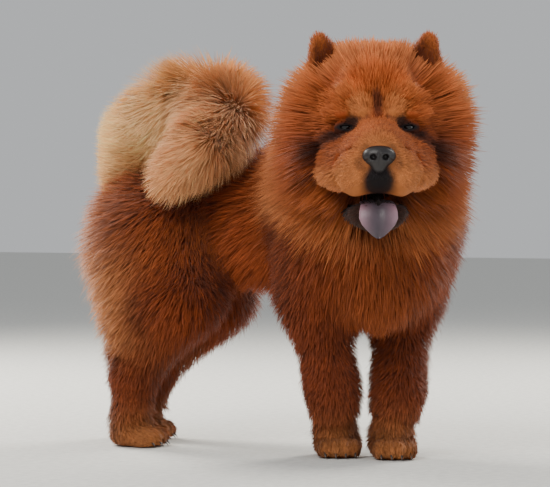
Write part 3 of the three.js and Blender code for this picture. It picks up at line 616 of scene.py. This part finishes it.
def in_head(points, margin=0.0):
    local = seen_from("HEAD", points)
    inside = ((local > HEAD_LOW + margin) & (local < HEAD_HIGH - margin)).all(1)
    return inside & (local[:, 0] * 0.7 + local[:, 2] * 0.71 > margin - 0.09)


def nearest_paw(points):
    spans = [np.linalg.norm((points - place(label, [0, 0, 0]))[:, :2], axis=1) for label in PAWS]
    return np.argmin(spans, axis=0)


def on_body(points):
    return ~in_head(points, 0.012) & (points[:, 2] > SOLE - 0.006)


def box_round(name, low, high):
    picks = np.array(list(np.ndindex(2, 2, 2)))
    corners = np.array([place(name, corner) for corner in np.where(picks, high, low)])
    return corners.min(0), corners.max(0)


low, high = np.array(cad_bounds[0]), np.array(cad_bounds[1])
parts = [(*surface(head_field, *box_round("HEAD", HEAD_LOW, HEAD_HIGH), HEAD_CELL, in_head), 0)]
parts.append((*surface(body_field, low - [0, 0, 0.02], high, BODY_CELL, on_body), 0))
for number, label in enumerate(PAWS):
    ground = place(label, [0, 0, 0])
    span = [ground - [PAW_REACH, PAW_REACH, 0.01], ground + [PAW_REACH, PAW_REACH, SOLE + 0.008]]

    def on_paw(points, number=number):
        return (points[:, 2] < SOLE) & (nearest_paw(points) == number)

    parts.append((*surface(body_field, *span, PAW_CELL, on_paw), 0))
parts.append((*surface(tail_field, low, high, BODY_CELL), 1))
starts = np.cumsum([0] + [len(part[0]) for part in parts])
skin_points = np.concatenate([part[0] for part in parts])
skin_points[:, 2] = np.maximum(skin_points[:, 2], FLOOR_GAP)
skin_quads = np.concatenate([part[1] + start for part, start in zip(parts, starts)])
coat_of = np.concatenate([np.full(len(part[0]), part[2]) for part in parts])
coat_of[(soft_field(skin_points, JAW, soft=JAW_BLEND) < 0.0015) & (coat_of == 0)] = 2
skin = mesh_object("skin", skin_points, skin_quads)
# The skin takes the roots' tones, painted shade of the coat included
skin_colours = coat_colours_and_painted_light(skin_points, coat_of)[0]
near = mirrored(seen_from("HEAD", skin_points))
in_mouth = np.clip(1 - ball(near, MOUTH, MOUTH_RADII) / 0.002, 0, 1)
skin_colours = mix(skin_colours, GUMS, in_mouth)
rim = np.clip((0.004 - np.abs(lids_open(near))) / 0.002, 0, 1)
skin_colours = mix(skin_colours, LIPS, rim * (np.linalg.norm(near - EYE_SPOT, axis=1) < 0.02))
paint(skin, skin_colours)
skin_material = material("skin", 0.75, 0.15, grain=(90, 0.75, 1.15), bump=(CLOUDS, 220, 0.5, 0.0012))
skin.data.materials.append(skin_material)

# An unwrap of the skin's own shape, where each tuft then has a small patch at its root
bpy.context.view_layer.objects.active = skin
skin.select_set(True)
skin.data.uv_layers.new(name="OFBake")
bpy.ops.object.mode_set(mode="EDIT")
bpy.ops.mesh.select_all(action="SELECT")
bpy.ops.uv.smart_project(angle_limit=math.radians(66), island_margin=0.002)
bpy.ops.object.mode_set(mode="OBJECT")
skin.select_set(False)
flat = np.empty(len(skin.data.loops) * 2, np.float32)
skin.data.uv_layers["OFBake"].data.foreach_get("uv", flat)
quad_uv = flat.reshape(-1, 4, 2)
FLESH = ("head", "neck", "torso", "tail", "foreleg", "hindleg", "fore", "hind", "jaw")
flesh = [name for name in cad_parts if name.split("_")[0] in FLESH and "claw" not in name]
finish_piece(skin, "red_fur", *flesh)


# Roots of the coat, spread over the skin by how dense the coat is there
def by_coat(points, coat_of, ask):
    found = None
    for number, masses in enumerate(COATS):
        chosen = coat_of == number
        if not chosen.any():
            continue
        part = ask(points[chosen], masses)
        if found is None:
            found = np.empty((len(points), *part.shape[1:]))
        found[chosen] = part
    return found


def depth_at(points, coat_of):
    def ask(spots, masses):
        return weights_at(spots, masses, 0.01) @ [mass["coat"] for mass in masses]

    return by_coat(points, coat_of, ask)


def lie_at(points, coat_of):
    def ask(spots, masses):
        return weights_at(spots, masses) @ np.array([mass["lie"] for mass in masses])

    return by_coat(points, coat_of, ask)


def coat_field(points, coat_of, share):
    return by_coat(points, coat_of, lambda p, masses: soft_field(p, masses, share))


def slope_at(points, coat_of, share):
    slope = gradient(lambda p: coat_field(p, coat_of, share), points, 0.002)
    return slope / (np.linalg.norm(slope, axis=1, keepdims=True) + 1e-9)


def bare(points):
    near = mirrored(seen_from("HEAD", points))
    mouth = ball(near, MOUTH, MOUTH_RADII + 0.003) < 0
    lids = np.linalg.norm((near - EYE_SPOT) / [1, 1.25, 1], axis=1) < 0.0142
    pad = ball(near, *NOSE_ROOM) < 0
    return mouth | lids | pad | (points[:, 2] < 0.004)


def sampled(points, quads, density, count):
    corners = points[quads]
    sides = corners[:, 1] - corners[:, 0], corners[:, 3] - corners[:, 0]
    area = np.linalg.norm(np.cross(*sides), axis=1)
    chance = area * density
    picked = np.sort(rng.choice(len(quads), count, p=chance / chance.sum()))
    u, v = rng.random((2, count))
    share = np.column_stack([(1 - u) * (1 - v), u * (1 - v), u * v, (1 - u) * v])
    return (corners[picked] * share[:, :, None]).sum(1), picked, share


FINE = 0.012  # coat depth up to which the fur is short and lies flat
STRAYS = 0.05  # share of the tufts that reach out past the rest
LOCKS = ((0.028, 0.1), (0.01, 0.14))  # size of a lock, and how far its tufts lean together
FACE_BACK = 0.04
FACE_SIDE = 0.08
FACE_LOW = -0.13
FACE_HIGH = 0.07
middles = skin_points[skin_quads].mean(1)
quad_coat = coat_of[skin_quads[:, 0]]
quad_depth = depth_at(middles, quad_coat)
density = np.where(quad_depth < 0.02, 2.2, 1.0) * np.where(quad_depth < FINE, 2.0, 1.0) * ~bare(middles)
density *= np.where(quad_coat == 1, 3.0, 1.0)
roots, picked, share = sampled(skin_points, skin_quads, density, TUFTS)
root_uv = (quad_uv[picked] * share[:, :, None]).sum(1)
root_coat = quad_coat[picked]
outward = slope_at(roots, root_coat, 0.0)
depth = depth_at(roots, root_coat)
short = depth < FINE
local = seen_from("HEAD", roots)
on_face = (local[:, 0] > FACE_BACK) & (np.abs(local[:, 1]) < FACE_SIDE)
on_face &= (local[:, 2] > FACE_LOW) & (local[:, 2] < FACE_HIGH)

# The lie of the coat: along the body, and fanned out from the face round the head
lie = lie_at(roots, root_coat)
fan = np.column_stack([
    np.full(TUFTS, -0.75), local[:, 1] / 0.085, np.clip((local[:, 2] + 0.045) / 0.085, -2, 0.9) - 0.32,
]) @ FRAMES["HEAD"]["axes"]
round_head = [mass["tone"] in ("mane", "crown", "cheek", "chest", "ruff") for mass in BODY]
fanned = weights_at(roots, BODY) @ np.array(round_head, float)
fanned *= np.clip((roots[:, 2] - 0.32) / 0.1, 0, 1) * (root_coat == 0)
lie = mix(lie, fan, fanned)
lie -= (lie * outward).sum(1, keepdims=True) * outward
lie /= np.linalg.norm(lie, axis=1, keepdims=True) + 1e-9
lie += rng.normal(0, 0.17, lie.shape)

# Where each tuft ends: along its lie and out towards the tips of the coat
length = np.where(short, 0.55 * depth + 0.004, 0.75 * depth + 0.008) * rng.uniform(0.6, 1.2, TUFTS)
rise = np.where(short, 0.35, 0.92) * depth * rng.uniform(0.6, 1.0, TUFTS)
rise[on_face] *= 0.8
length[on_face] *= 0.75

# The fringe from the cheeks back into the ruff, and from the legs down over the feet
fringe = np.clip((np.abs(local[:, 1]) - 0.055) / 0.025, 0, 1) * in_head(roots) * short
length += 0.016 * fringe
rise += 0.004 * fringe
cuff = np.clip((0.1 - roots[:, 2]) / 0.04, 0, 1) * np.clip((roots[:, 2] - 0.008) / 0.045, 0, 1)
length += 0.016 * cuff * rng.uniform(0, 1, TUFTS)
rise += 0.0035 * cuff * rng.uniform(0.3, 1, TUFTS)
tips = roots + lie * length[:, None] + outward * rise[:, None]
goal = -rng.beta(1.1, 3.2, TUFTS) * 0.7 * depth - 0.001
goal += 0.12 * depth * (root_coat == 1)
stray = rng.random(TUFTS) < STRAYS
goal[stray] = (rng.uniform(0.02, 0.22, TUFTS) * depth)[stray]
over = coat_field(tips, root_coat, 1.0) - goal
tip_out = slope_at(tips, root_coat, 1.0)
settled = ~short & ~on_face & (root_coat != 2)
tips[settled] -= (over[:, None] * tip_out)[settled]


# Tufts lean together into soft locks, and each lock has its own shade
def groups(size):
    wobble = 0.35 * size * np.sin(roots[:, [1, 2, 0]] / size * 1.7)
    keys = np.floor((roots + wobble) / size).astype(int)
    return np.unique(keys, axis=0, return_inverse=True)[1].ravel()


shade = np.zeros(TUFTS)
for size, strength in LOCKS:
    group = groups(size)
    count = np.bincount(group)
    middle = np.column_stack([np.bincount(group, tips[:, i]) / count for i in range(3)])[group]
    tips += (middle - tips) * (strength * np.clip(depth / 0.04, 0, 1))[:, None]
    shade += rng.normal(0, 0.06, len(count))[group]
tips += rng.normal(0, 1, tips.shape) * (0.06 * depth)[:, None]

# Round the ears the coat is short, and lies back behind them
def ear_room(points):
    near = mirrored(seen_from("HEAD", points))
    ring = np.linalg.norm((near[:, 1:] - EAR_MIDDLE[1:]) / EAR_ROOM, axis=1)
    return np.clip(1.6 - ring, 0, 1) * (near[:, 0] > EAR_MIDDLE[0])


tips -= (tips - roots) * (0.35 * ear_room(roots))[:, None]
forward = seen_from("HEAD", tips)[:, 0] - EAR_MIDDLE[0]
tips -= FRAMES["HEAD"]["axes"][0] * (forward * ear_room(tips))[:, None]

# Tufts that would hang in the open mouth or over the tongue are left out
blocked = np.zeros(TUFTS, bool)
for share in (0.4, 0.7, 1.0):
    near = seen_from("HEAD", roots + share * (tips - roots))
    blocked |= ball(near, *MOUTH_ROOM) < 0
blocked &= root_coat == 0
tips = np.clip(tips, low - 0.008, high + 0.008)
tips[:, 2] = np.maximum(tips[:, 2], 0.002)

BLADE_RISES = np.array([0, 0, 0.4, 0.4, 0.75, 0.75, 1.0])
BLADE_SIDES = np.array([-1, 1, -1, 1, -1, 1, 0])
BLADE_WIDTHS = np.array([0.8, 0.8, 1.0, 1.0, 0.6, 0.6, 0])
BLADE_FACES = np.array([[0, 1, 3], [0, 3, 2], [2, 3, 5], [2, 5, 4], [4, 5, 6]])
PATCH = 0.0015  # half the size of a tuft's patch in the unwrap


# Flat curved blades from root to tip, and their colours
def blades(roots, tips, outward, sunk, width):
    reach = np.linalg.norm(tips - roots, axis=1)[:, None]
    bend = roots * 0.45 + tips * 0.55 + outward * 0.15 * reach
    start = roots - outward * sunk[:, None]
    across = np.cross(tips - roots, outward)
    across /= np.linalg.norm(across, axis=1, keepdims=True) + 1e-9
    roll = rng.uniform(-0.9, 0.9, len(roots))[:, None]
    across = across * np.cos(roll) + outward * np.sin(roll) * 0.6
    t = BLADE_RISES[None, :, None]
    spine = (1 - t) ** 2 * start[:, None] + 2 * t * (1 - t) * bend[:, None] + t**2 * tips[:, None]
    half = BLADE_SIDES * BLADE_WIDTHS / 2
    return spine + across[:, None] * width[:, None, None] * half[None, :, None]


# Each blade runs from its root's tone, darker as painted shade deep in the coat, to its tip's tone
def blade_colours(root_tone, tip_tone, vary):
    t = (BLADE_RISES**0.8)[None, :, None]
    return np.clip((root_tone[:, None] * (1 - t) + tip_tone[:, None] * t) * vary[:, None, None], 0, 0.95)


def coat_piece(name, slot, blade, colours, uv):
    faces = (np.arange(len(blade))[:, None, None] * 7 + BLADE_FACES).reshape(-1, 3)
    piece = mesh_object(name, blade.reshape(-1, 3), faces)
    paint(piece, colours.reshape(-1, 3))
    patch = uv[:, None] + np.column_stack([BLADE_SIDES * PATCH, BLADE_RISES * (2 * PATCH) - PATCH])
    layer = piece.data.uv_layers.new(name="OFBake")
    layer.data.foreach_set("uv", patch.reshape(-1, 2)[faces.ravel()].astype(np.float32).ravel())
    piece.data.materials.append(fur)
    finish_piece(piece, slot)


fur = material("fur", 0.62, 0.18, sheen=0.12)
width = np.where(short, 0.001, 0.00145) * rng.uniform(0.6, 1.3, TUFTS)
width[on_face] = 0.001
blade = blades(roots, tips, outward, np.minimum(0.1 * depth, 0.003), width)
vary = np.exp(shade + rng.normal(0, 0.12, TUFTS))
root_tone, tip_tone = coat_colours_and_painted_light(roots, root_coat)

# The tips of the ruff grow paler outwards from the face, partly as the ruff's lighter fur and partly as
# painted rim light
RUFF_MIDDLE = [0, -0.05]
PALE_FROM = 0.09
PALE_OVER = 0.05
PALE_TIP = linear([228, 152, 94])
around = np.linalg.norm(local[:, 1:] - RUFF_MIDDLE, axis=1)
pale = 0.85 * np.clip((around - PALE_FROM) / PALE_OVER, 0, 1) * fanned * (local[:, 2] > -0.16)
tip_tone = mix(tip_tone, PALE_TIP, pale)
colours = blade_colours(root_tone, tip_tone, vary)
AREAS = ("mane_fur", "red_fur", "paw_fur", "pale_fur")
area_of = np.where(root_coat == 1, 3, np.where(in_head(roots), 0, np.where(roots[:, 2] < 0.2, 2, 1)))
for number, slot in enumerate(AREAS):
    members = np.flatnonzero((area_of == number) & ~blocked)
    members = members[np.argsort(roots[members, 1])]
    for start in range(0, len(members), PIECE):
        chosen = members[start:start + PIECE]
        name = f"coat_{slot.split('_')[0]}_{start // PIECE}"
        coat_piece(name, slot, blade[chosen], colours[chosen], root_uv[chosen])


# Ears: rounded upright leaves with a hollow front and short fur
def turn_about(axis, angle):
    angle = math.radians(angle)
    u, v = (axis + 1) % 3, (axis + 2) % 3
    turn = np.eye(3)
    turn[u, u] = turn[v, v] = math.cos(angle)
    turn[u, v], turn[v, u] = -math.sin(angle), math.sin(angle)
    return turn


def ear_axes(side):
    return turn_about(0, -side * 14) @ turn_about(1, -8) @ turn_about(2, -side * 14)


EAR_LEAVES = (
    ([-0.008, 0.08, 0.082], [0.011, 0.018, 0.031]),
    ([-0.008, 0.074, 0.055], [0.015, 0.03, 0.034]),
)
EAR_CUPS = (
    ([0.004, 0.08, 0.083], [0.009, 0.011, 0.022]),
    ([0.009, 0.073, 0.064], [0.012, 0.02, 0.024]),
)


def ear_field(points, side):
    local = seen_from("HEAD", points)

    def leaf(at, radii):
        return ball((local - np.array(at) * [1, side, 1]) @ ear_axes(side), [0, 0, 0], np.array(radii))

    outer = soft_join(leaf(*EAR_LEAVES[0]), leaf(*EAR_LEAVES[1]), 0.012)
    cup = soft_join(leaf(*EAR_CUPS[0]), leaf(*EAR_CUPS[1]), 0.008)
    return soft_cut(outer, cup, 0.004)


# The ear's rim keeps its own orange; towards the middle of its hollow it darkens, painted shade in the
# recess
EAR_RIM = linear([184, 100, 48])
EAR_HOLLOW_SHADE = linear([74, 24, 9])
for side, word in ((1, "left"), (-1, "right")):
    middle = place("HEAD", [-0.005, side * 0.074, 0.066])
    points, quads = surface(lambda p, s=side: ear_field(p, s), middle - 0.06, middle + 0.06, EAR_CELL)

    def ear_colours(spots, side=side):
        offset = (seen_from("HEAD", spots) - [0.006, side * 0.075, 0.076]) / [0.013, 0.018, 0.03]
        hollow_shade = np.clip(1.8 - 1.1 * np.linalg.norm(offset, axis=1), 0, 1)
        return mix(np.tile(EAR_RIM, (len(spots), 1)), EAR_HOLLOW_SHADE, hollow_shade)

    ear = mesh_object("ear_" + word + "_soft", points, quads)
    paint(ear, ear_colours(points))
    ear.data.materials.append(material("ear_" + word, 0.8, 0.1, bump=(CLOUDS, 420, 0.6, 0.001)))
    finish_piece(ear, "ear_fur", "ear_" + word)
    spots, _, _ = sampled(points, quads, 1.0, EAR_TUFTS)
    slope = gradient(lambda p, s=side: ear_field(p, s), spots, 0.001)
    slope /= np.linalg.norm(slope, axis=1, keepdims=True)
    grow = toward("HEAD", [-0.3, side * 0.1, 1]) + rng.normal(0, 0.25, spots.shape)
    ends = spots + grow * rng.uniform(0.004, 0.008, (EAR_TUFTS, 1)) + slope * 0.0022
    tone = ear_colours(spots)
    ear_blades = blades(spots, ends, slope, np.full(EAR_TUFTS, 0.0005), np.full(EAR_TUFTS, 0.0009))
    # Darker at the root as painted shade in the coat, lighter at the tip
    ear_shades = blade_colours(tone * 0.8, tone * 1.15, np.exp(rng.normal(0, 0.12, EAR_TUFTS)))
    # An unwrap round the ear's own upright axis
    offset = seen_from("HEAD", spots) - [0, side * 0.076, 0.02]
    turn = np.arctan2(offset[:, 1], offset[:, 0]) / (2 * math.pi) + 0.5
    ear_uv = np.column_stack([turn, offset[:, 2] / 0.12]) * 0.98 + 0.01
    coat_piece("coat_ear_" + word, "ear_fur", ear_blades, ear_shades, ear_uv)

# Eyes
eye_material = material("eye", 0.08, 0.6, colour=(22, 12, 9))
for word, centre in EYES.items():
    bpy.ops.mesh.primitive_uv_sphere_add(
        segments=48, ring_count=24, radius=EYE - EYE_ROOM, location=centre,
    )
    eye = bpy.context.object
    eye.name = "eyeball_" + word
    bpy.ops.object.shade_smooth()
    eye.data.materials.append(eye_material)
    finish_piece(eye, "eye", "eye_" + word)


# The nose pad, with open nostrils
def nose_field(points):
    near = mirrored(seen_from("HEAD", points))
    pad = ball(near, [0.146, 0, -0.079], np.array([0.021, 0.0255, 0.0175]))
    pad = soft_join(pad, ball(near, [0.144, 0, -0.093], np.array([0.016, 0.013, 0.012])), 0.006)
    pad = soft_cut(pad, rod(near, [0.168, 0, -0.074], [0.16, 0, -0.106], 0.0009), 0.003)
    pad = soft_cut(pad, ball(near, [0.166, 0.0095, -0.081], np.array([0.009, 0.0052, 0.0048])), 0.002)
    return soft_cut(pad, rod(near, [0.166, 0.013, -0.083], [0.155, 0.021, -0.087], 0.0019), 0.002)


middle = place("HEAD", [0.146, 0, -0.084])
nose = mesh_object("nose_pad", *surface(nose_field, middle - 0.032, middle + 0.032, NOSE_CELL))
nose_material = material(
    "nose", 0.4, 0.5, colour=(28, 23, 24), grain=(160, 0.6, 1.5), bump=(PEBBLES, 620, 0.35, 0.0006),
)
nose.data.materials.append(nose_material)
finish_piece(nose, "nose", "nose")

# The tongue over the lower lip: forward, up, half width and half thickness, with a groove along it
TONGUE = [
    (0.034, -0.146, 0.022, 0.004), (0.07, -0.147, 0.026, 0.005), (0.104, -0.149, 0.026, 0.005),
    (0.122, -0.1525, 0.0265, 0.005), (0.131, -0.161, 0.0285, 0.0048), (0.135, -0.171, 0.029, 0.0045),
    (0.137, -0.181, 0.0245, 0.004), (0.138, -0.19, 0.0165, 0.0035), (0.138, -0.197, 0.009, 0.0028),
    (0.138, -0.201, 0.003, 0.0015),
]
TONGUE_SIDES = 28
TONGUE_HALF = 0.029  # its greatest half width
GROOVE_DEPTH = 0.0032
GROOVE_WIDTH = 0.004
TONGUE_MIDDLE = linear([70, 60, 68])
TONGUE_EDGE = linear([148, 114, 126])
tongue_points = []
tongue_colours = []
for i, (forward, up, wide, thick) in enumerate(TONGUE):
    before, after = TONGUE[max(i - 1, 0)], TONGUE[min(i + 1, len(TONGUE) - 1)]
    slope = math.atan2(after[1] - before[1], after[0] - before[0])
    for angle in np.linspace(0, 2 * math.pi, TONGUE_SIDES, endpoint=False):
        across = wide * math.cos(angle)
        groove = GROOVE_DEPTH * math.exp(-((across / GROOVE_WIDTH) ** 2)) if math.sin(angle) > 0 else 0
        lift = thick * math.sin(angle) - groove
        spot = [forward - lift * math.sin(slope), across, up + lift * math.cos(slope)]
        tongue_points.append(place("HEAD", spot))
        edge = min(abs(across) / TONGUE_HALF, 1) ** 2
        tongue_colours.append(TONGUE_MIDDLE * (1 - edge) + TONGUE_EDGE * edge)


def tube_faces(rings, sides):
    faces = []
    for ring in range(rings - 1):
        for n in range(sides):
            a, b = ring * sides + n, ring * sides + (n + 1) % sides
            faces.append([a, b, b + sides, a + sides])
    return faces


faces = tube_faces(len(TONGUE), TONGUE_SIDES)
faces.append(list(range(TONGUE_SIDES))[::-1])
faces.append([(len(TONGUE) - 1) * TONGUE_SIDES + n for n in range(TONGUE_SIDES)])
tongue = mesh_object("tongue_soft", tongue_points, faces)
paint(tongue, np.array(tongue_colours))
tongue.data.materials.append(material("tongue", 0.4, 0.4, bump=(PEBBLES, 500, 0.4, 0.0005)))
finish_piece(tongue, "tongue", "tongue")

# Claws: short curved horns in front of the toes
CLAW_LENGTH = 0.016
CLAW_ROOT = 0.0034
CLAW_TIP = 0.0003
CLAW_STEPS = 7
CLAW_SIDES = 10
claw_material = material("claw", 0.3, 0.5, colour=(52, 40, 34))
for label in PAWS:
    for number, toe in enumerate(TOES):
        x, y, z = toe_at(toe)
        rings = []
        for along in np.linspace(0, 1, CLAW_STEPS):
            radius = CLAW_ROOT * (1 - along) ** 0.7 + CLAW_TIP
            drop = CLAW_LENGTH * along * (0.2 + 0.55 * along)
            for angle in np.linspace(0, 2 * math.pi, CLAW_SIDES, endpoint=False):
                rings.append(place(label, [
                    x + 0.014 + CLAW_LENGTH * along, y + radius * math.cos(angle),
                    z - 0.001 - drop + radius * math.sin(angle),
                ]))
        tip_face = [(CLAW_STEPS - 1) * CLAW_SIDES + n for n in range(CLAW_SIDES)]
        name = f"{label}_claw_{number + 1}"
        claw = mesh_object(name + "_horn", rings, tube_faces(CLAW_STEPS, CLAW_SIDES) + [tip_face])
        claw.data.materials.append(claw_material)
        finish_piece(claw, "claw", name)

# A plain pale floor and soft light
bpy.ops.mesh.primitive_plane_add(size=30, location=(0, 0, 0))
floor = bpy.context.object
floor.name = "floor"
floor.data.materials.append(material("floor", 0.9, 0.1, colour=(214, 214, 210)))
world = bpy.data.worlds.new("studio")
bpy.context.scene.world = world
world.use_nodes = True
world.node_tree.nodes["Background"].inputs[0].default_value = (0.88, 0.9, 0.92, 1)
world.node_tree.nodes["Background"].inputs[1].default_value = 0.6

# Directions of the picture, as the camera sees the dog
VIEW = math.radians(-57)
RIGHT = np.array([math.cos(VIEW), math.sin(VIEW), 0])
AHEAD = np.array([-math.sin(VIEW), math.cos(VIEW), 0])
UP = np.array([0, 0, 1])
FOCAL = 2160  # in pixels of the picture
WIDE = 550
AWAY = 3.6
CAMERA_SIDE = 0.0105
CAMERA_UP = 0.39
AIM_DOWN = 27.5  # from eye level down to the middle of the picture, in pixels


def area_light(name, location, size, power, colour):
    lamp = bpy.data.lights.new(name, "AREA")
    lamp.energy, lamp.size, lamp.color = power, size, colour
    made = bpy.data.objects.new(name, lamp)
    bpy.context.collection.objects.link(made)
    made.location = location
    made.rotation_euler = Vector(np.array([0, 0, 0.3]) - location).to_track_quat("-Z", "Y").to_euler()


area_light("key", RIGHT * -1.2 - AHEAD * 2.0 + UP * 2.4, 1.4, 62, (1, 0.97, 0.92))
area_light("fill", RIGHT * 2.6 - AHEAD * 1.8 + UP * 1.2, 2.2, 22, (0.94, 0.97, 1))
area_light("rim_left", RIGHT * -1.8 + AHEAD * 1.8 + UP * 1.9, 1.2, 150, (1, 0.95, 0.86))
area_light("rim_right", RIGHT * 1.8 + AHEAD * 1.8 + UP * 1.9, 1.2, 90, (1, 0.95, 0.86))

camera = bpy.data.cameras.new("camera")
camera.sensor_width = 36
camera.lens = 36 * FOCAL / WIDE
camera_object = bpy.data.objects.new("camera", camera)
bpy.context.collection.objects.link(camera_object)
camera_object.location = RIGHT * CAMERA_SIDE - AHEAD * AWAY + UP * CAMERA_UP + SHIFT
camera_object.rotation_euler = Vector(AHEAD - UP * AIM_DOWN / FOCAL).to_track_quat("-Z", "Y").to_euler()
bpy.context.scene.camera = camera_object
